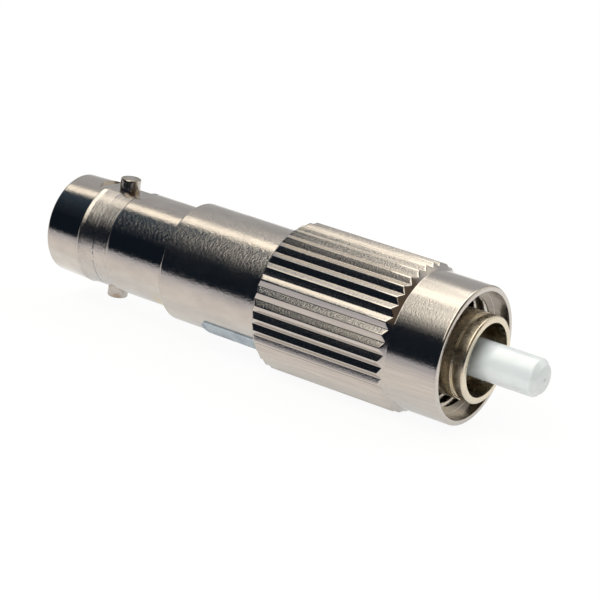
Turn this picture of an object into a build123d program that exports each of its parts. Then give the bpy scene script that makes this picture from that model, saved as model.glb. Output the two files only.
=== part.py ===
from build123d import *
from math import cos, radians, sin
import os

# Fibre tester adapter: a screw-on plug with a loose fluted nut at +X, a bayonet jack at -X.
# The origin is on the adapter's axis at the front face of the plug frame, inside the nut's mouth.
# +X points out along the plug's ferrule, +Z along the upper pin. Sizes are in millimetres.

# Gaps between pieces, as differences in radius or along the axis
press_gap = 0.004
bond_gap = 0.003
fibre_gap = 0.0075
sleeve_gap = 0.012
seat_gap = 0.02
ring_bore_gap = 0.05
ring_groove_gap = 0.07
collar_gap = 0.20
stop_slack = 0.05

# Ferrules and the fibre they hold
ferrule_r = 1.2495
ferrule_reach = 4.05
ferrule_chamfer = 0.36
end_dome_r = 12.0
bond_relief = 0.20
fibre_r = 0.0625

# Carrier, a flanged metal tube that joins the two ferrules
carrier_wall = 0.50
carrier_flange = 1.18
carrier_flange_gap = 0.05
carrier_nose = 1.50
rear_socket_depth = 2.0
front_socket_depth = 3.47
carrier_passage_r = 0.50
ferrule_travel = 1.0
travel_margin = 0.30

# Spring behind the carrier's flange
spring_length = 5.6
spring_wire_r = 0.18
spring_turns = 6.5
spring_inner_gap = 0.12
spring_outer_gap = 0.16

# Split alignment sleeve, its holder and the bush that closes the holder
sleeve_wall = 0.35
sleeve_length = 11.4
sleeve_slit = 0.50
sleeve_float = 0.10
sleeve_end_gap = 0.20
holder_wall = 0.25
holder_lip = 0.50
holder_lip_gap = 0.15
holder_flange = 0.8
stop_length = 1.3
stop_bore_gap = 0.15

# Bayonet jack end of the barrel
pin_setback = 3.95
mouth_r = 2.62
mouth_depth = 6.6
mouth_chamfer = 0.15
jack_wall = 0.81
jack_length = 9.74
jack_edge = 0.12
land_length = 2.70
land_taper = 0.07
ridge_height = 0.01
relief_length = 2.50
relief_depth = 0.10
key_slot_width = 1.3
key_slot_depth = 3.0

# Bayonet pins and the flats that they stand on
pin_r = 0.68
pin_height = 0.69
pin_edge = 0.08
pin_flat_depth = 0.20
pin_flat_r = 2.0
shank_r = 0.42
shank_floor = 0.10

# Main part of the barrel
web_length = 0.6
shoulder_wall = 0.60
body_wall = 0.516
body_edge = 0.30
spigot_depth = 4.3
barrel_past_stop = 0.70

# Plug frame
frame_wall = 0.44
waist_wall = 0.36
collar_height = 0.40
collar_length = 1.0
spigot_height = 0.30
step_length = 0.9
step_gap = 0.15
nose_depth = 4.48
nose_band = 0.65
nose_groove_width = 0.28
nose_groove_depth = 0.15
nose_edge = 0.14
frame_key_width = 2.0
frame_key_length = 2.0
frame_key_height = 0.57
frame_key_root = 0.11
frame_key_setback = 2.8

# Snap ring that carries the nut along the frame's waist
ring_thickness = 0.75
ring_width = 0.95
ring_opening = 40.0
nut_back_travel = 2.0
nut_front_travel = 0.25

# Coupling nut
thread_major = 8.0
thread_pitch = 0.75
nut_length = 13.6
nut_setback = 0.88
nut_rear_land = 0.70
nut_front_land = 0.85
land_clearance = 0.30
thread_runout = 0.60
counterbore_depth = 1.1
counterbore_gap = 0.14
rim_width = 0.37
rim_edge = 0.18
chamber_gap = 0.18
nut_wall = 0.36
flute_count = 36
flute_turn = 1.8
flute_depth = 0.24
flute_land = 0.05
fluted_length = 9.55
flute_run_out = 0.45
nut_rear_edge = 0.28

# Bare sticker on the barrel, under the nut's rear edge
label_setback = 3.23
label_length = 5.6
label_thickness = 0.14
label_gap = 0.01
label_arc = 97.0

# Radii, from the ferrule outwards
ferrule_grip_r = ferrule_r - bond_relief
carrier_r = ferrule_r + carrier_wall
spring_r = carrier_r + spring_inner_gap + spring_wire_r
frame_bore_r = spring_r + spring_wire_r + spring_outer_gap
frame_r = frame_bore_r + frame_wall
waist_r = frame_bore_r + waist_wall
collar_r = waist_r + collar_height
step_r = carrier_r + step_gap
sleeve_bore_r = ferrule_r + sleeve_gap
sleeve_r = sleeve_bore_r + sleeve_wall
holder_bore_r = sleeve_r + sleeve_float
holder_r = holder_bore_r + holder_wall
flange_bore_r = collar_r + press_gap
spigot_r = collar_r + spigot_height
spigot_bore_r = spigot_r + press_gap
body_r = spigot_bore_r + body_wall
jack_r = mouth_r + jack_wall
pin_top = jack_r + pin_height
pin_flat_z = jack_r - pin_flat_depth
ring_bore_r = waist_r + ring_bore_gap
ring_r = ring_bore_r + ring_width
ring_groove_r = ring_r + ring_groove_gap
nut_land_r = collar_r + collar_gap
thread_minor_r = thread_major / 2 - 0.54127 * thread_pitch
runout_r = thread_major / 2 + stop_slack
counterbore_r = thread_major / 2 + counterbore_gap
rim_r = counterbore_r + rim_width
label_r = body_r + label_gap + label_thickness
chamber_r = label_r + chamber_gap
flute_floor_r = chamber_r + nut_wall
flute_top_r = flute_floor_r + flute_depth

# Stations along the axis, from the plug frame's front face back to the jack's mouth
frame_front = 0.0
step_end = frame_front - nose_depth
step_start = step_end - step_length
flange_end = step_start - seat_gap
spring_end = flange_end - carrier_flange
stop_end = spring_end - spring_length
stop_start = stop_end - stop_length
sleeve_end = stop_start - sleeve_end_gap
sleeve_start = sleeve_end - sleeve_length
mouth_floor = sleeve_start - sleeve_end_gap - holder_lip
jack_front = mouth_floor - mouth_depth
pin_x = jack_front + pin_setback
relief_start = jack_front + land_length
relief_end = relief_start + relief_length
shoulder = jack_front + jack_length
web_end = mouth_floor + web_length
bore_step = shoulder + shoulder_wall
barrel_end = stop_end + barrel_past_stop
spigot_start = barrel_end - spigot_depth
optical_plane = (sleeve_start + sleeve_end) / 2
ferrule_tip = frame_front + ferrule_reach
carrier_start = stop_end + ferrule_travel + travel_margin
carrier_end = step_end + carrier_nose
rear_socket_floor = carrier_start + rear_socket_depth
front_socket_floor = carrier_end - front_socket_depth
waist_start = barrel_end + nut_rear_land + land_clearance
ring_start = waist_start + stop_slack + nut_back_travel
ring_end = ring_start + ring_thickness
waist_end = ring_end + nut_front_travel + stop_slack
collar_end = waist_end + collar_length
ring_groove_start = ring_start - stop_slack
ring_groove_end = ring_end + stop_slack
nut_land_start = ring_groove_start - nut_rear_land
nut_land_end = ring_groove_end + nut_front_land
nut_front = frame_front - nut_setback
nut_rear = nut_front - nut_length
thread_start = nut_land_end + thread_runout
thread_end = nut_front - counterbore_depth
flutes_end = nut_rear + fluted_length
smooth_start = flutes_end + flute_run_out
label_start = shoulder + label_setback
frame_key_end = frame_front - frame_key_setback
frame_key_start = frame_key_end - frame_key_length

os.makedirs("parts", exist_ok=True)


def tube_outline(start, end, inner, outer):
    """Half outline of a plain tube, to be turned about the X axis."""
    Polyline((start, inner), (end, inner), (end, outer), (start, outer), close=True)


# Barrel: the jack and the main body, turned from one bar
relief_r = jack_r - relief_depth
with BuildPart() as barrel:
    with BuildSketch(Plane.XZ):
        with BuildLine():
            Polyline(
                (jack_front, mouth_r + mouth_chamfer),
                (jack_front, jack_r - land_taper - jack_edge),
                (jack_front + jack_edge, jack_r - land_taper),
                (relief_start, jack_r + ridge_height),
                (pin_x, relief_r),
                (relief_end, relief_r),
                (relief_end, jack_r),
                (shoulder, jack_r),
                (shoulder, body_r - body_edge),
                (shoulder + body_edge, body_r),
                (barrel_end - body_edge, body_r),
                (barrel_end, body_r - body_edge),
                (barrel_end, spigot_bore_r),
                (bore_step, spigot_bore_r),
                (bore_step, flange_bore_r),
                (web_end, flange_bore_r),
                (web_end, holder_r + press_gap),
                (mouth_floor, holder_r + press_gap),
                (mouth_floor, mouth_r),
                (jack_front + mouth_chamfer, mouth_r),
                close=True,
            )
        make_face()
    revolve(axis=Axis.X)
    # A spot-faced flat and a shank hole for each pin
    for side in (1, -1):
        with BuildSketch(Plane.XY.offset(side * pin_flat_z)):
            with Locations((pin_x, 0)):
                Circle(pin_flat_r)
        extrude(amount=side * 2 * pin_flat_depth, mode=Mode.SUBTRACT)
        with BuildSketch(Plane.XY.offset(side * (mouth_r + shank_floor))):
            with Locations((pin_x, 0)):
                Circle(shank_r + press_gap)
        extrude(amount=side * jack_wall, mode=Mode.SUBTRACT)
    # Open slot for the key of the mating plug, on the side away from the pins
    with BuildSketch(Plane.XZ):
        with Locations((jack_front, 0)):
            Rectangle(2 * key_slot_depth, key_slot_width)
    extrude(amount=-(jack_r + ridge_height + jack_edge), mode=Mode.SUBTRACT)
barrel.part.label = "barrel"
export_step(barrel.part, "parts/barrel.step")


# Bayonet pins: a head on the flat and a shank pressed into the wall
def bayonet_pin(side):
    """One pin, standing up for side 1 and down for side -1."""
    with BuildPart() as pin:
        with BuildSketch(Plane.XY.offset(side * pin_flat_z)):
            with Locations((pin_x, 0)):
                Circle(pin_r)
        extrude(amount=side * (pin_top - pin_flat_z))
        chamfer(pin.edges().sort_by(Axis.Z)[-1 if side > 0 else 0], pin_edge)
        with BuildSketch(Plane.XY.offset(side * (mouth_r + shank_floor))):
            with Locations((pin_x, 0)):
                Circle(shank_r)
        extrude(amount=side * (pin_flat_z - mouth_r - shank_floor))
    return pin


for pin_name, pin_side in (("bayonet_pin_upper", 1), ("bayonet_pin_lower", -1)):
    bayonet = bayonet_pin(pin_side)
    bayonet.part.label = pin_name
    export_step(bayonet.part, f"parts/{pin_name}.step")

# Sleeve holder: a thin tube with a lip at the mouth and two flanges, trapped by the plug frame
lip_r = ferrule_r + holder_lip_gap
with BuildPart() as sleeve_holder:
    with BuildSketch(Plane.XZ):
        with BuildLine():
            Polyline(
                (mouth_floor, lip_r + holder_lip / 2),
                (mouth_floor + holder_lip / 2, lip_r),
                (mouth_floor + holder_lip, lip_r),
                (mouth_floor + holder_lip, holder_bore_r),
                (stop_start, holder_bore_r),
                (stop_start, holder_r),
                (spigot_start, holder_r),
                (spigot_start, spigot_r),
                (spigot_start - holder_flange, spigot_r),
                (spigot_start - holder_flange, holder_r),
                (web_end + holder_flange, holder_r),
                (web_end + holder_flange, collar_r),
                (web_end, collar_r),
                (web_end, holder_r),
                (mouth_floor, holder_r),
                close=True,
            )
        make_face()
    revolve(axis=Axis.X)
sleeve_holder.part.label = "sleeve_holder"
export_step(sleeve_holder.part, "parts/sleeve_holder.step")

# Split sleeve: lines the two ferrules up, floats in its holder
with BuildPart() as split_sleeve:
    with BuildSketch(Plane.XZ):
        with BuildLine():
            tube_outline(sleeve_start, sleeve_end, sleeve_bore_r, sleeve_r)
        make_face()
    revolve(axis=Axis.X)
    with BuildSketch(Plane.XY):
        with Locations((optical_plane, 0)):
            Rectangle(2 * sleeve_length, sleeve_slit)
    extrude(amount=2 * sleeve_r, mode=Mode.SUBTRACT)
split_sleeve.part.label = "split_sleeve"
export_step(split_sleeve.part, "parts/split_sleeve.step")

# Spring stop: a bush pressed into the frame, closing the sleeve holder
with BuildPart() as spring_stop:
    with BuildSketch(Plane.XZ):
        with BuildLine():
            tube_outline(stop_start, stop_end, ferrule_r + stop_bore_gap, frame_bore_r - press_gap)
        make_face()
    revolve(axis=Axis.X)
spring_stop.part.label = "spring_stop"
export_step(spring_stop.part, "parts/spring_stop.step")

# Ferrule spring: round wire, squeezed between the stop and the carrier's flange
coil_height = spring_length - 2 * spring_wire_r
with BuildPart() as ferrule_spring:
    with BuildLine():
        coil = Helix(
            pitch=coil_height / spring_turns,
            height=coil_height,
            radius=spring_r,
            center=(stop_end + spring_wire_r, 0, 0),
            direction=(1, 0, 0),
        )
    with BuildSketch(Plane(origin=coil @ 0, z_dir=coil % 0)):
        Circle(spring_wire_r)
    sweep(is_frenet=True)
ferrule_spring.part.label = "ferrule_spring"
export_step(ferrule_spring.part, "parts/ferrule_spring.step")


# Ferrules: ceramic rods with a hair-thin bore, a domed and chamfered outer end
def ferrule(socket_x, grip_x, tip_x):
    """One ferrule, bonded from socket_x to grip_x and free from there to its domed tip."""
    out = 1 if tip_x > socket_x else -1
    face_r = ferrule_r - ferrule_chamfer
    dome_drop = face_r**2 / (2 * end_dome_r)
    chamfer_x = tip_x - out * (ferrule_chamfer + dome_drop)
    with BuildPart() as rod:
        with BuildSketch(Plane.XZ):
            with BuildLine():
                Polyline(
                    (tip_x, fibre_r + fibre_gap),
                    (socket_x, fibre_r + fibre_gap),
                    (socket_x, ferrule_grip_r),
                    (grip_x, ferrule_grip_r),
                    (grip_x, ferrule_r),
                    (chamfer_x, ferrule_r),
                    (tip_x - out * dome_drop, face_r),
                )
                ThreePointArc(
                    (tip_x - out * dome_drop, face_r),
                    (tip_x - out * dome_drop / 4, face_r / 2),
                    (tip_x, fibre_r + fibre_gap),
                )
            make_face()
        revolve(axis=Axis.X)
    return rod


front_ferrule = ferrule(front_socket_floor, carrier_end, ferrule_tip)
front_ferrule.part.label = "front_ferrule"
export_step(front_ferrule.part, "parts/front_ferrule.step")

rear_ferrule = ferrule(rear_socket_floor, carrier_start, optical_plane)
rear_ferrule.part.label = "rear_ferrule"
export_step(rear_ferrule.part, "parts/rear_ferrule.step")

# Optical fibre: one strand through both ferrules
with BuildPart() as optical_fibre:
    with BuildSketch(Plane.YZ.offset(optical_plane)):
        Circle(fibre_r)
    extrude(amount=ferrule_tip - optical_plane)
optical_fibre.part.label = "optical_fibre"
export_step(optical_fibre.part, "parts/optical_fibre.step")

# Ferrule carrier: a socket at each end, and the flange that the spring pushes forward
socket_r = ferrule_grip_r + bond_gap
with BuildPart() as ferrule_carrier:
    with BuildSketch(Plane.XZ):
        with BuildLine():
            Polyline(
                (carrier_start, socket_r),
                (rear_socket_floor, socket_r),
                (rear_socket_floor, carrier_passage_r),
                (front_socket_floor, carrier_passage_r),
                (front_socket_floor, socket_r),
                (carrier_end, socket_r),
                (carrier_end, carrier_r),
                (flange_end, carrier_r),
                (flange_end, frame_bore_r - carrier_flange_gap),
                (spring_end, frame_bore_r - carrier_flange_gap),
                (spring_end, carrier_r),
                (carrier_start, carrier_r),
                close=True,
            )
        make_face()
    revolve(axis=Axis.X)
ferrule_carrier.part.label = "ferrule_carrier"
export_step(ferrule_carrier.part, "parts/ferrule_carrier.step")

# Plug frame: screwed into the barrel, waisted for the nut's snap ring, grooved near its nose
groove_end = frame_front - nose_band
groove_start = groove_end - nose_groove_width
with BuildPart() as plug_frame:
    with BuildSketch(Plane.XZ):
        with BuildLine():
            Polyline(
                (spigot_start, frame_bore_r),
                (step_start, frame_bore_r),
                (step_start, step_r),
                (step_end, step_r),
                (step_end, frame_bore_r),
                (frame_front, frame_bore_r),
                (frame_front, frame_r - nose_edge),
                (frame_front - nose_edge, frame_r),
                (groove_end, frame_r),
                (groove_end, frame_r - nose_groove_depth),
                (groove_start, frame_r - nose_groove_depth),
                (groove_start, frame_r),
                (collar_end, frame_r),
                (collar_end, collar_r),
                (waist_end, collar_r),
                (waist_end, waist_r),
                (waist_start, waist_r),
                (waist_start, collar_r),
                (barrel_end, collar_r),
                (barrel_end, spigot_r),
                (spigot_start, spigot_r),
                close=True,
            )
        make_face()
    revolve(axis=Axis.X)
    # Pocket for the key
    with BuildSketch(Plane.XZ.offset(-(frame_bore_r + frame_key_root))):
        with Locations(((frame_key_start + frame_key_end) / 2, 0)):
            Rectangle(frame_key_length + 2 * press_gap, frame_key_width + 2 * press_gap)
    extrude(amount=-frame_wall, mode=Mode.SUBTRACT)
plug_frame.part.label = "plug_frame"
export_step(plug_frame.part, "parts/plug_frame.step")

# Frame key: a block in the frame's pocket that enters the slot of the mating socket
with BuildPart() as frame_key:
    with BuildSketch(Plane.XZ.offset(-(frame_bore_r + frame_key_root))):
        with Locations(((frame_key_start + frame_key_end) / 2, 0)):
            Rectangle(frame_key_length, frame_key_width)
    extrude(amount=-(frame_wall - frame_key_root + frame_key_height))
frame_key.part.label = "frame_key"
export_step(frame_key.part, "parts/frame_key.step")

# Snap ring: open ring in the nut's groove, sliding on the frame's waist
with BuildPart() as nut_snap_ring:
    with BuildSketch(Plane.XZ):
        with BuildLine():
            tube_outline(ring_start, ring_end, ring_bore_r, ring_r)
        make_face()
    revolve(axis=Axis.X, revolution_arc=360 - ring_opening)
nut_snap_ring.part.label = "nut_snap_ring"
export_step(nut_snap_ring.part, "parts/nut_snap_ring.step")

# Coupling nut: fluted grip, smooth front ring, thread bored to its minor diameter
flute_half = radians(180 / flute_count) * flute_top_r - flute_land / 2
flute_slope = flute_half / flute_depth
with BuildPart() as coupling_nut:
    with BuildSketch(Plane.XZ):
        with BuildLine():
            Polyline(
                (nut_rear, chamber_r),
                (nut_land_start, chamber_r),
                (nut_land_start, nut_land_r),
                (ring_groove_start, nut_land_r),
                (ring_groove_start, ring_groove_r),
                (ring_groove_end, ring_groove_r),
                (ring_groove_end, nut_land_r),
                (nut_land_end, nut_land_r),
                (nut_land_end, runout_r),
                (thread_start, runout_r),
                (thread_start, thread_minor_r),
                (thread_end, thread_minor_r),
                (thread_end, counterbore_r),
                (nut_front, counterbore_r),
                (nut_front, rim_r - rim_edge),
                (nut_front - rim_edge, rim_r),
                (smooth_start, rim_r),
                (flutes_end, flute_top_r),
                (nut_rear + nut_rear_edge, flute_top_r),
                (nut_rear, flute_top_r - nut_rear_edge),
                close=True,
            )
        make_face()
    revolve(axis=Axis.X)
    # V flutes with narrow lands between them, running out through both end chamfers
    with BuildSketch(Plane.YZ.offset(nut_rear)):
        with PolarLocations(0, flute_count, start_angle=flute_turn):
            Polygon(
                (flute_floor_r, 0),
                (flute_floor_r + 2 * flute_depth, 2 * flute_depth * flute_slope),
                (flute_floor_r + 2 * flute_depth, -2 * flute_depth * flute_slope),
                align=None,
            )
    extrude(amount=smooth_start - nut_rear, mode=Mode.SUBTRACT)
coupling_nut.part.label = "coupling_nut"
export_step(coupling_nut.part, "parts/coupling_nut.step")

# Sticker: a curved sheet round the underside of the barrel
with BuildPart() as label:
    with BuildSketch(Plane.YZ.offset(label_start)):
        with BuildLine():
            inner = CenterArc((0, 0), body_r + label_gap, 270 - label_arc / 2, label_arc)
            outer = CenterArc((0, 0), label_r, 270 - label_arc / 2, label_arc)
            Line(inner @ 0, outer @ 0)
            Line(inner @ 1, outer @ 1)
        make_face()
    extrude(amount=label_length)
label.part.label = "label"
export_step(label.part, "parts/label.step")
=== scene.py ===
import math

import bmesh
import bpy
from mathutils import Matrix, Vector


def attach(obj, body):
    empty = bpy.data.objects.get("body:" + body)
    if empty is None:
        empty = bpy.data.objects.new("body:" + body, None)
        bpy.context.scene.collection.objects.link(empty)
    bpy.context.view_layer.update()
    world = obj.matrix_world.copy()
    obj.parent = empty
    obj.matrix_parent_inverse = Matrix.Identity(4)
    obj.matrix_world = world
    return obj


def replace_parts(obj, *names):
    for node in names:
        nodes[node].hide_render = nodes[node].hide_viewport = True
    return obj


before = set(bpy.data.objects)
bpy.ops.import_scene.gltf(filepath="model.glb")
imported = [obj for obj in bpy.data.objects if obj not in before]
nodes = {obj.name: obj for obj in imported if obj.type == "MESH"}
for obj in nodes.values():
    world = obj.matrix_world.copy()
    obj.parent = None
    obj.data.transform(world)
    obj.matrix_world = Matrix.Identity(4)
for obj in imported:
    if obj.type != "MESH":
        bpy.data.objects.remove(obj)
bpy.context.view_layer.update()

mm = 0.001
scene = bpy.context.scene

# Everything sits in the frame's own axes: the adapter's axis is X, its plug points to +X,
# the upper bayonet pin to +Z, and the plug frame's front face is at 0. Sizes below are in mm.


# Shaping helpers

def placed(name, data):
    made = bpy.data.objects.new(name, data)
    scene.collection.objects.link(made)
    return made


def faceOutward(mesh):
    # turns every face outward and shades the mesh smooth
    made = bmesh.new()
    made.from_mesh(mesh)
    bmesh.ops.recalc_face_normals(made, faces=made.faces)
    made.to_mesh(mesh)
    made.free()
    mesh.polygons.foreach_set("use_smooth", [True] * len(mesh.polygons))


def roundedOutline(corners, closed=True, steps=4):
    # corners are (along, radius, rounding); each rounded corner becomes a small arc with support points
    mostOfSide, supportOfRadius, supportOfSide = 0.45, 0.4, 0.05
    count = len(corners)
    points = []
    for i, (x, r, soft) in enumerate(corners):
        here = Vector((x, r))
        if not closed and i in (0, count - 1):
            points.append(here)
            continue
        back = Vector(corners[i - 1][:2]) - here
        ahead = Vector(corners[(i + 1) % count][:2]) - here
        if soft <= 0:
            points.append(here)
            continue
        angle = back.angle(ahead)
        reach = min(soft / math.tan(angle / 2), back.length * mostOfSide, ahead.length * mostOfSide)
        radius = reach * math.tan(angle / 2)
        start, end = here + back.normalized() * reach, here + ahead.normalized() * reach
        middle = here + (back.normalized() + ahead.normalized()).normalized() * (radius / math.sin(angle / 2))
        support = min(radius * supportOfRadius, back.length * supportOfSide, ahead.length * supportOfSide)
        points.append(start + back.normalized() * support)
        fromA, toB = start - middle, end - middle
        turn = fromA.angle_signed(toB)
        for k in range(steps + 1):
            a = -turn * k / steps
            points.append(middle + Vector((fromA.x * math.cos(a) - fromA.y * math.sin(a),
                                           fromA.x * math.sin(a) + fromA.y * math.cos(a))))
        points.append(end + ahead.normalized() * support)
    return [(p.x, p.y) for p in points]


def meshFromRings(name, rings, closed, finishes=None):
    # rings are equal lists of points in mm, each one a loop round the piece
    columns = len(rings[0])
    mesh = bpy.data.meshes.new(name)
    verts = [(x * mm, y * mm, z * mm) for ring in rings for x, y, z in ring]
    faces, marks = [], []
    last = len(rings) if closed else len(rings) - 1
    for i in range(last):
        a, b = i * columns, ((i + 1) % len(rings)) * columns
        for k in range(columns):
            n = (k + 1) % columns
            faces.append((a + k, a + n, b + n, b + k))
            marks.append(finishes[i] if finishes else 0)
    if not closed:
        faces.append(tuple(range(columns - 1, -1, -1)))
        faces.append(tuple(range((len(rings) - 1) * columns, len(rings) * columns)))
        marks += [marks[0], marks[-1]]
    mesh.from_pydata(verts, [], faces)
    mesh.polygons.foreach_set("material_index", marks)
    faceOutward(mesh)
    return placed(name, mesh)


def turnedPiece(name, outline, columns=240, closed=True, upright=None):
    # spins an outline round X, or round Z through (x, 0) where upright gives x
    rings = []
    for x, r in outline:
        ring = []
        for k in range(columns):
            a = 2 * math.pi * k / columns
            if upright is None:
                ring.append((x, r * math.sin(a), r * math.cos(a)))
            else:
                ring.append((upright + r * math.cos(a), r * math.sin(a), x))
        rings.append(ring)
    return meshFromRings(name, rings, closed)


def cutterBlock(low, high):
    made = bmesh.new()
    bmesh.ops.create_cube(made, size=1.0)
    for v in made.verts:
        for axis in range(3):
            v.co[axis] = (low[axis] if v.co[axis] < 0 else high[axis]) * mm
    mesh = bpy.data.meshes.new("cutter")
    made.to_mesh(mesh)
    made.free()
    return placed("cutter", mesh)


def cutAway(piece, cutters, crease=28):
    # takes the cutters' shapes out of the piece and keeps only the clean mesh
    for cutter in cutters:
        cut = piece.modifiers.new("cut", "BOOLEAN")
        cut.object = cutter
        cut.operation = "DIFFERENCE"
        cut.solver = "EXACT"
    bpy.context.view_layer.update()
    ready = piece.evaluated_get(bpy.context.evaluated_depsgraph_get())
    mesh = bpy.data.meshes.new_from_object(ready)
    piece.modifiers.clear()
    old = piece.data
    piece.data = mesh
    bpy.data.meshes.remove(old)
    mesh.polygons.foreach_set("use_smooth", [True] * len(mesh.polygons))
    mesh.set_sharp_from_angle(angle=math.radians(crease))
    for cutter in cutters:
        bpy.data.objects.remove(cutter)


def dress(piece, *finishes):
    piece.data.materials.clear()
    for finish in finishes:
        piece.data.materials.append(finish)


# Finishes

noiseSpan = (0.3, 0.7)  # nearly all of a noise's values lie between these
even = (1.0, 1.0, 1.0)  # a grain that is the same along every axis


def mathNode(tree, kind, *values):
    node = tree.nodes.new("ShaderNodeMath")
    node.operation = kind
    for slot, value in zip(node.inputs, values):
        if isinstance(value, (int, float)):
            slot.default_value = value
        else:
            tree.links.new(value, slot)
    return node.outputs[0]


def rangeNode(tree, source, low, high, toLow=0.0, toHigh=1.0, kind="LINEAR"):
    node = tree.nodes.new("ShaderNodeMapRange")
    node.interpolation_type = kind
    for key, value in zip(("From Min", "From Max", "To Min", "To Max"), (low, high, toLow, toHigh)):
        node.inputs[key].default_value = value
    tree.links.new(source, node.inputs["Value"])
    return node.outputs[0]


def mixNode(tree, factor, first, second):
    # first and second are each a colour or a socket
    node = tree.nodes.new("ShaderNodeMix")
    node.data_type = "RGBA"
    tree.links.new(factor, node.inputs["Factor"])
    for slot, value in ((node.inputs[6], first), (node.inputs[7], second)):
        if isinstance(value, tuple):
            slot.default_value = (*value, 1)
        else:
            tree.links.new(value, slot)
    return node.outputs[2]


def rampNode(tree, source, stops):
    # stops are (place from 0 to 1, colour or grey), the first one at 0
    node = tree.nodes.new("ShaderNodeValToRGB")
    steps = node.color_ramp.elements
    while len(steps) > 1:
        steps.remove(steps[-1])
    steps[0].position = 0.0
    for k, (at, value) in enumerate(stops):
        step = steps[0] if k == 0 else steps.new(at)
        step.color = (*value, 1) if isinstance(value, tuple) else (value, value, value, 1)
    tree.links.new(source, node.inputs[0])
    return node.outputs[0]


def emptyMaterial(name):
    # gives the material, its node tree and the socket that its surface goes into
    mat = bpy.data.materials.new(name)
    mat.use_nodes = True
    tree = mat.node_tree
    tree.nodes.clear()
    return mat, tree, tree.nodes.new("ShaderNodeOutputMaterial").inputs["Surface"]


class Finish:
    # a material with short ways to add and join nodes
    def __init__(self, name, colour, metal, rough):
        self.mat = bpy.data.materials.new(name)
        self.mat.use_nodes = True
        self.tree = self.mat.node_tree
        self.shader = self.tree.nodes["Principled BSDF"]
        self.shader.inputs["Base Color"].default_value = (*colour, 1)
        self.shader.inputs["Metallic"].default_value = metal
        self.shader.inputs["Roughness"].default_value = rough
        self.mat.diffuse_color = (*colour, 1)
        place = self.tree.nodes.new("ShaderNodeTexCoord")
        self.place = self.scaled(place.outputs["Object"], (1000, 1000, 1000))  # now in mm
        self.split = self.tree.nodes.new("ShaderNodeSeparateXYZ")
        self.tree.links.new(self.place, self.split.inputs[0])

    def scaled(self, source, size):
        node = self.tree.nodes.new("ShaderNodeMapping")
        node.inputs["Scale"].default_value = size
        self.tree.links.new(source, node.inputs["Vector"])
        return node.outputs[0]

    def sums(self, kind, *values):
        return mathNode(self.tree, kind, *values)

    def noise(self, size, grain, detail=2.0, rough=0.55):
        # size stretches the grain along each axis, grain is how many to the mm
        node = self.tree.nodes.new("ShaderNodeTexNoise")
        node.inputs["Scale"].default_value = grain
        node.inputs["Detail"].default_value = detail
        node.inputs["Roughness"].default_value = rough
        self.tree.links.new(self.scaled(self.place, size), node.inputs["Vector"])
        return node.outputs["Fac"]

    def ranged(self, source, low, high, toLow=0.0, toHigh=1.0):
        return rangeNode(self.tree, source, low, high, toLow, toHigh)

    def blended(self, factor, first, second):
        return mixNode(self.tree, factor, first, second)

    def colour(self, source):
        self.tree.links.new(source, self.shader.inputs["Base Color"])

    def rough(self, source):
        self.tree.links.new(source, self.shader.inputs["Roughness"])

    def bumps(self, *layers):
        # layers are (height source, height in mm), stacked
        total = None
        for source, height in layers:
            part = self.sums("MULTIPLY", source, height * mm)
            total = part if total is None else self.sums("ADD", total, part)
        node = self.tree.nodes.new("ShaderNodeBump")
        node.inputs["Distance"].default_value = 1.0
        node.inputs["Strength"].default_value = 1.0
        self.tree.links.new(total, node.inputs["Height"])
        self.tree.links.new(node.outputs[0], self.shader.inputs["Normal"])

    def band(self, low, high, soft, axis=0):
        # 1 between two stations along an axis, fading over soft
        value = self.split.outputs[axis]
        rise = self.ranged(value, low - soft, low)
        fall = self.ranged(value, high, high + soft, 1.0, 0.0)
        return self.sums("MULTIPLY", rise, fall)


plating = {
    "nickel": (0.60, 0.565, 0.52),
    "nickelDull": (0.52, 0.49, 0.455),
    "stain": (0.62, 0.50, 0.27),
    # dark pitted metal for real tool marks, also used as painted shade in the barrel's relief recess
    "pittingAndRecessShade": (0.27, 0.28, 0.30),
    # amber painted reflection for the bayonet pins
    "amberReflection": (0.36, 0.30, 0.23),
    "frameGold": (0.72, 0.64, 0.49),
}


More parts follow.
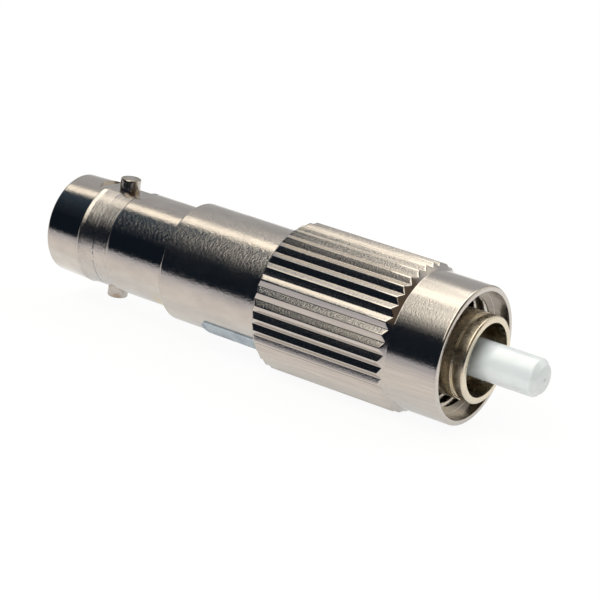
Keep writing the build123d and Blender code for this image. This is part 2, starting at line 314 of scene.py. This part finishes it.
def platedBarrelFinish():
    look = {
        "body": (0.09, 0.20), "jack": (0.06, 0.13), "relief": (0.10, 0.26),
        "speckleHigh": 0.0110, "ringsHigh": 0.0012, "gritHigh": 0.014, "groovesHigh": 0.012,
        "reliefAt": (-29.66, -27.20), "reliefSoft": 0.04, "jackEnds": (-22.75, -22.60),
        "toolLine": (-28.47, -28.39), "toolSoft": 0.02,
        "stainAt": (-23.60, -22.70), "stainSoft": 0.35, "stainUnder": (-3.6, -1.6),
    }
    f = Finish("platedBarrel", plating["nickel"], 1.0, 0.15)
    speckle = f.noise(even, 5.5, 3.0, 0.7)
    clouds = f.noise((0.6, 1.0, 1.0), 0.9, 2.0)
    rings = f.noise((14.0, 0.25, 0.25), 1.0, 2.0)
    grit = f.noise(even, 7.0, 3.0, 0.75)
    grooves = f.noise((16.0, 0.5, 0.5), 1.0, 2.0)
    mixed = f.sums("ADD", f.sums("MULTIPLY", speckle, 0.5), f.sums("MULTIPLY", clouds, 0.5))
    relief = f.band(*look["reliefAt"], look["reliefSoft"])
    jack = f.ranged(f.split.outputs[0], *look["jackEnds"], 1.0, 0.0)
    body = f.ranged(mixed, 0.35, 0.65, *look["body"])
    smooth = f.ranged(mixed, 0.35, 0.65, *look["jack"])
    coarse = f.ranged(grit, *noiseSpan, *look["relief"])
    level = f.sums("ADD", body, f.sums("MULTIPLY", jack, f.sums("SUBTRACT", smooth, body)))
    level = f.sums("ADD", level, f.sums("MULTIPLY", relief, f.sums("SUBTRACT", coarse, level)))
    f.rough(level)
    under = f.ranged(f.split.outputs[2], *look["stainUnder"], 1.0, 0.0)
    stainZone = f.sums("MULTIPLY", f.band(*look["stainAt"], look["stainSoft"]), under)
    stain = f.sums("MULTIPLY", stainZone, clouds)
    toolMark = f.sums("MULTIPLY", f.band(*look["toolLine"], look["toolSoft"]), f.ranged(speckle, 0.45, 0.55))
    tone = f.blended(f.ranged(clouds, *noiseSpan), plating["nickel"], plating["nickelDull"])
    # painted shade: in the relief recess the grit patches take the dark pitted colour, standing in for the
    # bright strip's missing reflection as well as for real pitting
    tone = f.blended(f.sums("MULTIPLY", relief, f.ranged(grit, 0.5, 1.2)), tone, plating["pittingAndRecessShade"])
    tone = f.blended(toolMark, tone, plating["pittingAndRecessShade"])
    f.colour(f.blended(f.ranged(stain, 0.05, 0.45), tone, plating["stain"]))
    f.bumps((speckle, look["speckleHigh"]), (rings, look["ringsHigh"]),
            (f.sums("MULTIPLY", relief, grit), look["gritHigh"]),
            (f.sums("MULTIPLY", relief, grooves), look["groovesHigh"]))
    return f.mat


def platedPinFinish():
    f = Finish("platedPin", plating["nickel"], 1.0, 0.16)
    reflectionPatches = f.noise(even, 1.6, 2.0)
    # painted reflection: random patches of dull nickel and amber stand in for the room mirrored in the pin's
    # plating
    f.colour(f.blended(f.ranged(reflectionPatches, 0.4, 0.65), plating["nickelDull"], plating["amberReflection"]))
    mottle = f.noise(even, 5.0, 2.0)
    rings = f.noise((0.4, 0.4, 16.0), 1.0, 2.0)
    f.rough(f.ranged(mottle, *noiseSpan, 0.10, 0.26))
    f.bumps((mottle, 0.004), (rings, 0.0015))
    return f.mat


def fluteFinish():
    f = Finish("nutFlutes", plating["nickel"], 1.0, 0.16)
    grain = f.noise(even, 8.0, 3.0, 0.7)
    streaks = f.noise((0.35, 9.0, 9.0), 1.0, 2.0)
    f.rough(f.ranged(grain, *noiseSpan, 0.08, 0.20))
    f.colour(f.blended(f.ranged(streaks, *noiseSpan), plating["nickel"], plating["nickelDull"]))
    f.bumps((grain, 0.0050), (streaks, 0.0012))
    return f.mat


def brushedRingFinish():
    f = Finish("nutBrushedRing", plating["nickel"], 1.0, 0.26)
    fine = f.noise((26.0, 1.1, 1.1), 1.0, 3.0, 0.65)
    broad = f.noise((5.0, 0.8, 0.8), 1.0, 2.0)
    cloud = f.noise(even, 0.7, 2.0)
    mixed = f.sums("ADD", f.sums("MULTIPLY", fine, 0.6), f.sums("MULTIPLY", cloud, 0.4))
    f.rough(f.ranged(mixed, *noiseSpan, 0.26, 0.40))
    f.colour(f.blended(f.ranged(broad, *noiseSpan), plating["nickel"], plating["nickelDull"]))
    f.bumps((fine, 0.0070), (broad, 0.0015))
    return f.mat


def nutInsideFinish():
    f = Finish("nutInside", plating["nickelDull"], 1.0, 0.22)
    rings = f.noise((9.0, 0.5, 0.5), 1.0, 2.0)
    mottle = f.noise(even, 3.0, 2.0)
    f.rough(f.ranged(mottle, *noiseSpan, 0.14, 0.34))
    f.bumps((rings, 0.0015), (mottle, 0.001))
    return f.mat


def frameFinish():
    f = Finish("plugFrameMetal", plating["frameGold"], 1.0, 0.28)
    rings = f.noise((12.0, 0.35, 0.35), 1.0, 2.0)
    mottle = f.noise(even, 2.2, 2.0)
    f.colour(f.blended(f.ranged(mottle, 0.3, 1.2), plating["frameGold"], plating["nickel"]))
    f.rough(f.ranged(mottle, *noiseSpan, 0.20, 0.34))
    f.bumps((rings, 0.0010), (mottle, 0.0002))
    return f.mat


def ceramicFinish():
    f = Finish("whiteCeramic", (0.64, 0.66, 0.65), 0.0, 0.13)
    cloud = f.noise((0.5, 1.0, 1.0), 0.8, 2.0)
    grind = f.noise((10.0, 0.6, 0.6), 1.0, 2.0)
    f.colour(f.blended(f.ranged(cloud, *noiseSpan), (0.60, 0.65, 0.675), (0.54, 0.595, 0.62)))
    f.rough(f.ranged(grind, *noiseSpan, 0.10, 0.18))
    f.shader.inputs["IOR"].default_value = 1.9
    f.shader.inputs["Subsurface Weight"].default_value = 0.18
    f.shader.inputs["Subsurface Radius"].default_value = (0.6, 0.6, 0.55)
    f.shader.inputs["Subsurface Scale"].default_value = 0.001
    f.bumps((grind, 0.0003), (cloud, 0.0004))
    return f.mat


def labelFinish():
    f = Finish("labelPaper", (0.46, 0.53, 0.60), 0.0, 0.55)
    fibres = f.noise(even, 6.0, 3.0)
    scuffs = f.noise((1.5, 0.8, 0.8), 0.8, 2.0)
    f.colour(f.blended(f.ranged(scuffs, 0.35, 0.7), (0.42, 0.49, 0.555), (0.30, 0.355, 0.415)))
    f.rough(f.ranged(scuffs, *noiseSpan, 0.42, 0.62))
    f.bumps((fibres, 0.004), (scuffs, 0.006))
    return f.mat


def innerMetalFinish(name, colour, rough):
    f = Finish(name, colour, 1.0, rough)
    rings = f.noise((8.0, 0.5, 0.5), 1.0, 2.0)
    f.rough(f.ranged(rings, *noiseSpan, rough - 0.06, rough + 0.10))
    f.bumps((rings, 0.0015))
    return f.mat


def holderFinish():
    f = Finish("holderPlastic", (0.035, 0.035, 0.04), 0.0, 0.55)
    grain = f.noise(even, 9.0, 2.0)
    f.rough(f.ranged(grain, *noiseSpan, 0.48, 0.64))
    f.bumps((grain, 0.003))
    return f.mat


def fibreFinish():
    f = Finish("fibreGlass", (0.50, 0.52, 0.52), 0.0, 0.08)
    cloud = f.noise(even, 9.0, 1.0)
    f.rough(f.ranged(cloud, *noiseSpan, 0.06, 0.12))
    f.shader.inputs["IOR"].default_value = 1.46
    return f.mat


barrelMetal = platedBarrelFinish()
pinMetal = platedPinFinish()
fluteMetal = fluteFinish()
ringMetal = brushedRingFinish()
nutInside = nutInsideFinish()
frameMetal = frameFinish()
ceramic = ceramicFinish()
labelPaper = labelFinish()
innerMetal = innerMetalFinish("innerMetal", (0.50, 0.44, 0.35), 0.24)
springSteel = innerMetalFinish("springSteel", (0.42, 0.42, 0.43), 0.28)
holderPlastic = holderFinish()
fibreGlass = fibreFinish()
print("finishes ready")


# Barrel

barrel = {
    "mouth": -32.38, "mouthBore": 2.62, "mouthFloor": -25.78,
    "land": 3.36, "ridge": 3.44, "ridgeAt": -29.68, "pinAt": -28.43,
    "relief": 3.33, "reliefEnd": -27.18, "jack": 3.43, "shoulder": -22.64,
    "body": 3.9695, "bodyEdge": 0.30, "end": -11.48,
    "webBore": 1.9655, "webEnd": -25.18, "flangeBore": 3.1535, "boreStep": -22.04, "spigotBore": 3.4535,
    "flatZ": 3.23, "flatR": 2.0, "flatOut": 4.6, "pinHoleR": 0.424, "pinHoleIn": 0.1, "pinHoleOut": 3.4,
    "slotWidth": 1.3, "slotEnd": -29.38, "slotOut": 4.2, "mouthRim": 0.15,
}


def makeBarrel(b):
    outline = roundedOutline([
        (b["mouth"], b["mouthBore"] + b["mouthRim"], 0.04),
        (b["mouth"], b["land"] - 0.02, 0.14),
        (b["ridgeAt"] - 0.06, b["ridge"] - 0.005, 0.05),
        (b["ridgeAt"] + 0.02, b["ridge"] - 0.002, 0.10),
        (b["ridgeAt"] + 0.24, b["relief"] + 0.045, 0.30),
        (b["pinAt"] - 0.03, b["relief"] + 0.014, 0.03),
        (b["pinAt"], b["relief"], 0.02),
        (b["reliefEnd"] - 0.10, b["relief"], 0.12),
        (b["reliefEnd"], b["jack"], 0.16),
        (b["shoulder"], b["jack"], 0.10),
        (b["shoulder"], b["body"] - b["bodyEdge"], 0.05),
        (b["shoulder"] + b["bodyEdge"], b["body"], 0.10),
        (b["end"] - b["bodyEdge"], b["body"], 0.05),
        (b["end"], b["body"] - b["bodyEdge"], 0.05),
        (b["end"], b["spigotBore"], 0.03),
        (b["boreStep"], b["spigotBore"], 0.0),
        (b["boreStep"], b["flangeBore"], 0.0),
        (b["webEnd"], b["flangeBore"], 0.0),
        (b["webEnd"], b["webBore"], 0.0),
        (b["mouthFloor"], b["webBore"], 0.03),
        (b["mouthFloor"], b["mouthBore"], 0.05),
        (b["mouth"] + b["mouthRim"], b["mouthBore"], 0.04),
    ])
    piece = turnedPiece("barrelTurned", outline, 320)
    cutters = []
    for side in (1, -1):
        spot = [(side * b["flatZ"], b["flatR"]), (side * b["flatOut"], b["flatR"])]
        inside = b["mouthBore"] + b["pinHoleIn"]
        hole = [(side * inside, b["pinHoleR"]), (side * b["pinHoleOut"], b["pinHoleR"])]
        cutters.append(turnedPiece("cutter", spot, 96, False, b["pinAt"]))
        cutters.append(turnedPiece("cutter", hole, 32, False, b["pinAt"]))
    half = b["slotWidth"] / 2
    cutters.append(cutterBlock((b["mouth"] - 1, 0, -half), (b["slotEnd"], b["slotOut"], half)))
    cutAway(piece, cutters)
    dress(piece, barrelMetal)
    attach(piece, "body")
    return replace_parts(piece, "barrel")


makeBarrel(barrel)
print("barrel ready")

pin = {
    "at": -28.43, "radius": 0.68, "flat": 3.23, "top": 4.12, "shank": 0.42, "shankEnd": 2.72, "edge": 0.09,
    "middle": 0.02,
}


def makePin(name, side, p):
    outline = roundedOutline([
        (p["shankEnd"], 0.0, 0), (p["shankEnd"], p["shank"], 0.03), (p["flat"], p["shank"], 0),
        (p["flat"], p["radius"], 0.02), (p["top"], p["radius"], p["edge"]), (p["top"], p["middle"], 0),
    ], closed=False)
    piece = turnedPiece(name, [(side * z, max(r, p["middle"])) for z, r in outline], 64, False, p["at"])
    dress(piece, pinMetal)
    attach(piece, "body")
    return piece


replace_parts(makePin("pinUpperPolished", 1, pin), "bayonet_pin_upper")
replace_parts(makePin("pinLowerPolished", -1, pin), "bayonet_pin_lower")
print("pins ready")


# Coupling nut

nut = {
    "rear": -14.48, "rearEdge": 0.28, "flutesEnd": -4.93, "smoothStart": -4.48, "front": -0.88,
    "ridge": 4.90, "valley": 4.66, "smooth": 4.5095, "rimRounding": 0.17, "flutes": 36, "turned": 3.2,
    "blunt": 0.22, "rearSteps": 10, "straightSteps": 6, "frontSteps": 14, "pastRidge": 9.0, "crease": 42,
    "counterbore": 4.14, "threadEnd": -1.98, "threadStart": -6.18, "minor": 3.594, "major": 4.0,
    "pitch": 0.75, "threadRows": 78, "fadeIn": 5, "fadeOut": 3, "cutHalf": 0.40, "flank": 0.33,
    "runout": 4.05, "landEnd": -6.78, "land": 3.35, "grooveFrom": -8.48, "grooveTo": -7.63, "groove": 3.82,
    "landFrom": -9.18, "chamber": 4.2995,
}


def makeNut(n):
    perFlute = [0.0, 0.22, 0.5, 1.0, 2.2, 3.6, 4.3, 4.7, 5.0, 5.3, 5.7, 6.4, 7.8, 9.0, 9.5, 9.78]
    step = 360 / n["flutes"]
    angles = [math.radians(n["turned"] + f * step + a) for f in range(n["flutes"]) for a in perFlute]
    blunt, depth = n["blunt"], n["ridge"] - n["valley"]  # blunt rounds the ridges and valleys, in degrees
    fluted = []
    for k in range(len(angles)):
        a = perFlute[k % len(perFlute)]
        off = min(a, step - a)  # degrees from the nearest ridge
        if off < step / 4:
            share = 1 - math.hypot(off, blunt) / (step / 2)
        else:
            share = math.hypot(step / 2 - off, blunt) / (step / 2)
        fluted.append(n["valley"] + depth * share)
    rings, finishes = [], []

    def addRing(x, radii, finish):
        if isinstance(radii, float):
            radii = [radii] * len(angles)
        rings.append([(x, r * math.sin(a), r * math.cos(a)) for r, a in zip(radii, angles)])
        finishes.append(finish)

    def limited(x, top):
        addRing(x, [min(r, top) for r in fluted], 0)

    for k in range(n["rearSteps"] + 1):  # rear chamfer, cut through the flutes
        share = k / n["rearSteps"]
        limited(n["rear"] + n["rearEdge"] * share, n["ridge"] - n["rearEdge"] * (1 - share))
    straight = n["flutesEnd"] - n["rear"] - n["rearEdge"]
    for k in range(1, n["straightSteps"]):
        limited(n["rear"] + n["rearEdge"] + straight * k / n["straightSteps"], n["pastRidge"])
    for k in range(n["frontSteps"] + 1):  # front chamfer
        share = k / n["frontSteps"]
        limited(n["flutesEnd"] + (n["smoothStart"] - n["flutesEnd"]) * share,
                n["ridge"] + (n["smooth"] - n["ridge"]) * share)
    ringPart = roundedOutline([
        (n["smoothStart"], n["smooth"], 0), (n["front"], n["smooth"], n["rimRounding"]),
        (n["front"], n["counterbore"], 0.05), (n["threadEnd"], n["counterbore"], 0.04),
        (n["threadEnd"], n["minor"] + 0.1, 0),
    ], closed=False, steps=6)
    finishes[-1] = 1
    addRing(n["smoothStart"] + 0.03, n["smooth"], 1)
    for x, r in ringPart[1:-1]:
        addRing(x, r, 1 if r > n["counterbore"] + 0.06 else 2)
    rows = n["threadRows"]
    for k in range(rows + 1):  # right-hand thread
        x = n["threadEnd"] + (n["threadStart"] - n["threadEnd"]) * k / rows
        fade = min(1.0, k / n["fadeIn"]) * min(1.0, (rows - k) / n["fadeOut"])
        radii = []
        for a in angles:
            turn = (x / n["pitch"] + a / (2 * math.pi)) % 1.0
            away = abs(turn - 0.5)
            cut = min(1.0, max(0.0, (n["cutHalf"] - away) / n["flank"]))
            radii.append(n["minor"] + (n["major"] - n["minor"]) * cut * fade)
        addRing(x, radii, 2)
    inner = roundedOutline([
        (n["threadStart"], n["minor"], 0), (n["threadStart"], n["runout"], 0.03),
        (n["landEnd"], n["runout"], 0.03), (n["landEnd"], n["land"], 0.03),
        (n["grooveTo"], n["land"], 0.03), (n["grooveTo"], n["groove"], 0.02),
        (n["grooveFrom"], n["groove"], 0.02), (n["grooveFrom"], n["land"], 0.03),
        (n["landFrom"], n["land"], 0.05), (n["landFrom"], n["chamber"], 0.05),
        (n["rear"], n["chamber"], 0),
    ], closed=False, steps=3)
    for x, r in inner[1:]:
        addRing(x, r, 2)
    piece = meshFromRings("couplingNutFluted", rings, True, finishes)
    piece.data.set_sharp_from_angle(angle=math.radians(n["crease"]))
    dress(piece, fluteMetal, ringMetal, nutInside)
    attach(piece, "nut")
    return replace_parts(piece, "coupling_nut")


makeNut(nut)
print("coupling nut ready")


# Plug frame, ferrule and label

plug = {
    "rear": -15.78, "spigot": 3.4495, "spigotTo": -11.48, "bore": 2.3895,
    "stepFrom": -5.38, "stepTo": -4.48, "step": 1.8995,
    "front": 0.0, "nose": 2.8295, "noseRounding": 0.16,
    "grooveFrom": -0.93, "grooveTo": -0.65, "grooveDeep": 0.15,
    "collar": 3.1495, "collarEnd": -6.38, "waistTo": -7.38, "waistFrom": -10.48, "waist": 2.7495,
    "keyFrom": -4.80, "keyTo": -2.80, "keyRoot": 2.4995, "keyWide": 2.008, "keyGap": 0.004, "keyOut": 4.0,
}


def makePlugFrame(p):
    grooveFloor = p["nose"] - p["grooveDeep"]
    outline = roundedOutline([
        (p["rear"], p["bore"], 0.02),
        (p["stepFrom"], p["bore"], 0), (p["stepFrom"], p["step"], 0.03),
        (p["stepTo"], p["step"], 0.05), (p["stepTo"], p["bore"], 0.03),
        (p["front"], p["bore"], 0.05), (p["front"], p["nose"], p["noseRounding"]),
        (p["grooveTo"], p["nose"], 0.03), (p["grooveTo"], grooveFloor, 0.04),
        (p["grooveFrom"], grooveFloor, 0.04), (p["grooveFrom"], p["nose"], 0.03),
        (p["collarEnd"], p["nose"], 0.04), (p["collarEnd"], p["collar"], 0.05),
        (p["waistTo"], p["collar"], 0.05), (p["waistTo"], p["waist"], 0.03),
        (p["waistFrom"], p["waist"], 0.03), (p["waistFrom"], p["collar"], 0.03),
        (p["spigotTo"], p["collar"], 0), (p["spigotTo"], p["spigot"], 0.03),
        (p["rear"], p["spigot"], 0.03),
    ], steps=6)
    piece = turnedPiece("plugFrameTurned", outline, 240)
    half = p["keyWide"] / 2
    low = (p["keyFrom"] - p["keyGap"], p["keyRoot"], -half)
    high = (p["keyTo"] + p["keyGap"], p["keyOut"], half)
    cutAway(piece, [cutterBlock(low, high)])
    dress(piece, frameMetal)
    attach(piece, "body")
    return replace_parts(piece, "plug_frame")


makePlugFrame(plug)

ferrule = {
    "tail": -6.45, "tailR": 1.0495, "gripEnd": -2.98, "radius": 1.2495, "tip": 4.05, "chamfer": 0.36,
    "drop": 0.033, "hole": 0.064,
}


def makeFerrule(e):
    face, steps = e["radius"] - e["chamfer"], 5
    dome = []  # the tip's slightly domed face, from the hole out
    for k in range(1, steps):
        dome.append((e["tip"] - e["drop"] * (k / steps) ** 2, e["hole"] + (face - e["hole"]) * k / steps, 0))
    outline = roundedOutline([
        (e["tail"], e["hole"], 0), (e["tail"], e["tailR"], 0.05), (e["gripEnd"], e["tailR"], 0),
        (e["gripEnd"], e["radius"], 0.02), (e["tip"] - e["chamfer"] - e["drop"], e["radius"], 0.22),
        (e["tip"] - e["drop"], face, 0.16), *reversed(dome), (e["tip"], e["hole"], 0),
    ], steps=6)
    piece = turnedPiece("frontFerrulePolished", outline, 160)
    dress(piece, ceramic)
    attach(piece, "ferrules")
    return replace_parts(piece, "front_ferrule")


makeFerrule(ferrule)

label = {
    "from": -19.41, "to": -13.81, "inner": 3.9795, "outer": 4.1195, "arc": 97.0, "lift": 0.02,
    "corner": 0.35, "columns": 72, "rows": 24, "crease": 40,
}


def makeLabel(l):
    # a curved sheet with its corners cut round and one end a little lifted
    columns, rows, corner = l["columns"], l["rows"], l["corner"]
    front, back = [], []
    half = math.radians(l["arc"] / 2)
    for i in range(rows + 1):
        x = l["from"] + (l["to"] - l["from"]) * i / rows
        nearEnd = min(i, rows - i) / rows * (l["to"] - l["from"])
        inset = 0.0
        if nearEnd < corner:
            inset = (corner - math.sqrt(max(0.0, corner ** 2 - (corner - nearEnd) ** 2))) / l["outer"]
        for k in range(columns + 1):
            a = (-half + inset) + 2 * (half - inset) * k / columns
            outer = l["outer"] - l["lift"] + l["lift"] * (i / rows) ** 2
            front.append((x, -outer * math.sin(a), -outer * math.cos(a)))
            back.append((x, -l["inner"] * math.sin(a), -l["inner"] * math.cos(a)))
    mesh = bpy.data.meshes.new("labelSheet")
    wide = columns + 1
    base = len(front)
    faces = []
    for i in range(rows):
        for k in range(columns):
            a = i * wide + k
            faces.append((a, a + 1, a + wide + 1, a + wide))
            faces.append((base + a, base + a + wide, base + a + wide + 1, base + a + 1))
    rim = list(range(wide)) + [i * wide + columns for i in range(1, rows + 1)]
    rim += [rows * wide + k for k in range(columns - 1, -1, -1)] + [i * wide for i in range(rows - 1, 0, -1)]
    for a, b in zip(rim, rim[1:] + rim[:1]):
        faces.append((a, base + a, base + b, b))
    mesh.from_pydata([(x * mm, y * mm, z * mm) for x, y, z in front + back], [], faces)
    faceOutward(mesh)
    mesh.set_sharp_from_angle(angle=math.radians(l["crease"]))
    piece = placed("labelSheet", mesh)
    dress(piece, labelPaper)
    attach(piece, "body")
    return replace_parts(piece, "label")


makeLabel(label)
print("plug, ferrule and label ready")

for name, finish in (
    ("frame_key", frameMetal), ("sleeve_holder", holderPlastic), ("split_sleeve", ceramic),
    ("rear_ferrule", ceramic), ("optical_fibre", fibreGlass), ("ferrule_carrier", innerMetal),
    ("spring_stop", innerMetal), ("ferrule_spring", springSteel), ("nut_snap_ring", springSteel),
):
    dress(nodes[name], finish)
print("inner pieces dressed")


# Studio

floor = {"level": -4.905, "size": 6000, "colour": (0.84, 0.84, 0.84), "seen": 0.93, "mirrored": 0.6}


def makeFloor(f):
    half = f["size"] / 2 * mm
    mesh = bpy.data.meshes.new("studioFloor")
    z = f["level"] * mm
    corners = [(-half, -half, z), (half, -half, z), (half, half, z), (-half, half, z)]
    mesh.from_pydata(corners, [], [(0, 1, 2, 3)])
    plane = placed("studioFloor", mesh)
    mat, tree, surface = emptyMaterial("studioFloorPaper")
    paper = tree.nodes.new("ShaderNodeBsdfDiffuse")
    paper.inputs["Color"].default_value = (*f["colour"], 1)
    bright = tree.nodes.new("ShaderNodeEmission")
    bright.inputs["Color"].default_value = (1, 1, 1, 1)
    bright.inputs["Strength"].default_value = 1.0
    path = tree.nodes.new("ShaderNodeLightPath").outputs
    seen = mathNode(tree, "MULTIPLY", path["Is Camera Ray"], f["seen"])
    shiny = mathNode(tree, "MAXIMUM", path["Is Glossy Ray"], path["Is Transmission Ray"])
    mirrored = mathNode(tree, "MULTIPLY", shiny, f["mirrored"])
    mix = tree.nodes.new("ShaderNodeMixShader")
    tree.links.new(mathNode(tree, "MAXIMUM", seen, mirrored), mix.inputs[0])
    tree.links.new(paper.outputs[0], mix.inputs[1])
    tree.links.new(bright.outputs[0], mix.inputs[2])
    tree.links.new(mix.outputs[0], surface)
    dress(plane, mat)


makeFloor(floor)

# The room is told by the angle round the adapter's axis, 0 straight up, growing towards -Y. Its
# lights are laid over it in turn: each has its share round the axis, and rises and falls along X.
room = {
    "stops": [
        (-180, (0.52, 0.515, 0.515)), (-60, (0.52, 0.515, 0.515)), (-15.2, (0.52, 0.51, 0.51)),
        (-13.7, (0.13, 0.16, 0.19)), (3.8, (0.062, 0.090, 0.122)), (20, (0.036, 0.056, 0.081)),
        (44, (0.016, 0.025, 0.038)), (60, (0.012, 0.018, 0.028)), (92, (0.006, 0.010, 0.017)),
        (180, (0.03, 0.03, 0.035)),
    ],
    "barrelStrip": {
        "stops": [(-180, 0), (-15.2, 0), (-13.7, 1), (1.8, 1), (3.8, 0), (180, 0)],
        "side": (-0.74, -0.66, -0.40, -0.34), "colour": (1.75, 1.60, 1.38),
    },
    "frontPanel": {
        "stops": [(-180, 0), (8, 0), (20, 1), (96, 1), (106, 0), (180, 0)],
        "side": (-0.32, -0.20, 0.26, 0.40), "colour": (1.25, 1.16, 1.02),
    },
    "ringGlow": {
        "stops": [(-180, 0), (-42, 0), (-34, 1), (34, 0.9), (46, 0.35), (60, 0), (180, 0)],
        "side": (-0.470, -0.450, -0.05, 0.05), "colour": (2.60, 2.45, 2.20),
    },
    "noseGlow": {
        "stops": [(-180, 1), (-46, 1), (-34, 0), (180, 0)],
        "side": (0.16, 0.30, 1.1, 1.2), "colour": (0.95, 0.90, 0.80),
    },
    "dimEnd": {
        "stops": [(-180, 0), (-34, 0), (-20, 1), (108, 1), (120, 0), (180, 0)],
        "side": (0.38, 0.52, 1.1, 1.2), "colour": (0.13, 0.095, 0.07),
    },
}


def makeRoom(r):
    world = bpy.data.worlds.new("studioRoom")
    scene.world = world
    world.use_nodes = True
    tree = world.node_tree
    back = tree.nodes["Background"]
    place = tree.nodes.new("ShaderNodeTexCoord")
    split = tree.nodes.new("ShaderNodeSeparateXYZ")
    tree.links.new(place.outputs["Generated"], split.inputs[0])

    def ringed(stops):
        return rampNode(tree, share, [((angle + 180) / 360, value) for angle, value in stops])

    def sideways(a, b, c, d):  # rises from a to b, falls from c to d
        rise = rangeNode(tree, split.outputs["X"], a, b, 0, 1, "SMOOTHSTEP")
        fall = rangeNode(tree, split.outputs["X"], c, d, 1, 0, "SMOOTHSTEP")
        return mathNode(tree, "MULTIPLY", rise, fall)

    turn = mathNode(tree, "ARCTAN2", mathNode(tree, "MULTIPLY", split.outputs["Y"], -1), split.outputs["Z"])
    share = mathNode(tree, "MULTIPLY_ADD", turn, 0.5 / math.pi, 0.5)
    light = ringed(r["stops"])
    for name in ("barrelStrip", "frontPanel", "ringGlow", "noseGlow", "dimEnd"):
        part = r[name]
        factor = mathNode(tree, "MULTIPLY", ringed(part["stops"]), sideways(*part["side"]))
        light = mixNode(tree, factor, light, part["colour"])
    tree.links.new(light, back.inputs["Color"])
    back.inputs["Strength"].default_value = 1.0


makeRoom(room)

darkCard = {
    "away": -18.9, "foot": -4.6, "level": -4.89, "top": 10.0, "long": (-260, 90),
    "dark": (0.007, 0.012, 0.020),
    "footStops": [
        (-18.9, (0.50, 0.49, 0.54)), (-12.5, (0.70, 0.68, 0.70)), (-10.85, (0.83, 0.79, 0.78)),
        (-8.5, (0.93, 0.875, 0.84)), (-6.9, (0.98, 0.92, 0.88)), (-4.6, (1.0, 0.945, 0.90)),
    ],
}


def makeDarkCard(c):
    # a low dark card beside the adapter and a grey foot in front of it, which only reflections show;
    # the foot's paper comes last, so its glow takes the ramp
    lowX, highX = (v * mm for v in c["long"])
    y, near, z, top = (c[key] * mm for key in ("away", "foot", "level", "top"))
    corners = [
        (lowX, y, z), (highX, y, z), (highX, y, top), (lowX, y, top), (lowX, near, z), (highX, near, z),
    ]
    mesh = bpy.data.meshes.new("darkCard")
    mesh.from_pydata(corners, [], [(0, 1, 2, 3), (4, 5, 1, 0)])
    card = placed("darkCard", mesh)
    papers = []
    for name in ("darkCardPaper", "greyFootPaper"):
        mat, tree, surface = emptyMaterial(name)
        glow = tree.nodes.new("ShaderNodeEmission")
        glow.inputs["Color"].default_value = (*c["dark"], 1)
        tree.links.new(glow.outputs[0], surface)
        papers.append(mat)
    place = tree.nodes.new("ShaderNodeTexCoord")
    split = tree.nodes.new("ShaderNodeSeparateXYZ")
    tree.links.new(place.outputs["Object"], split.inputs[0])
    along = rangeNode(tree, split.outputs["Y"], y, near)
    wide = c["foot"] - c["away"]
    ramp = rampNode(tree, along, [((at - c["away"]) / wide, tint) for at, tint in c["footStops"]])
    tree.links.new(ramp, glow.inputs["Color"])
    dress(card, *papers)
    mesh.polygons[1].material_index = 1
    card.visible_camera = False
    card.visible_diffuse = False
    card.visible_transmission = False
    card.visible_shadow = False
    card.visible_volume_scatter = False


makeDarkCard(darkCard)

aimedAt = (-10 * mm, 0, 0)
lamps = {
    "frontSoft": {"at": (-40, -260, 260), "size": 240, "watts": 0.95, "tint": (1.0, 0.98, 0.95)},
    "rearSoft": {"at": (120, 220, 240), "size": 260, "watts": 0.45, "tint": (0.97, 0.98, 1.0)},
}


def makeLamp(name, look):
    light = bpy.data.lights.new(name, "AREA")
    light.size = look["size"] * mm
    light.energy = look["watts"]
    light.color = look["tint"]
    lamp = placed(name, light)
    lamp.location = [v * mm for v in look["at"]]
    aim = Vector(aimedAt) - lamp.location
    lamp.rotation_euler = aim.to_track_quat("-Z", "Y").to_euler()
    lamp.visible_glossy = False


for lampName, lampLook in lamps.items():
    makeLamp(lampName, lampLook)

view = {
    "at": (66.981, -129.453, 48.143), "turned": (72.2655, -7.7274, 34.4891), "lens": 150.0, "sensor": 36.0,
    "clip": (0.005, 50.0),
}
cameraData = bpy.data.cameras.new("photoCamera")
cameraData.lens = view["lens"]
cameraData.sensor_width = view["sensor"]
cameraData.clip_start, cameraData.clip_end = view["clip"]
camera = placed("photoCamera", cameraData)
camera.location = [v * mm for v in view["at"]]
camera.rotation_euler = [math.radians(v) for v in view["turned"]]
scene.camera = camera
scene.view_settings.view_transform = "Standard"
print("studio ready")
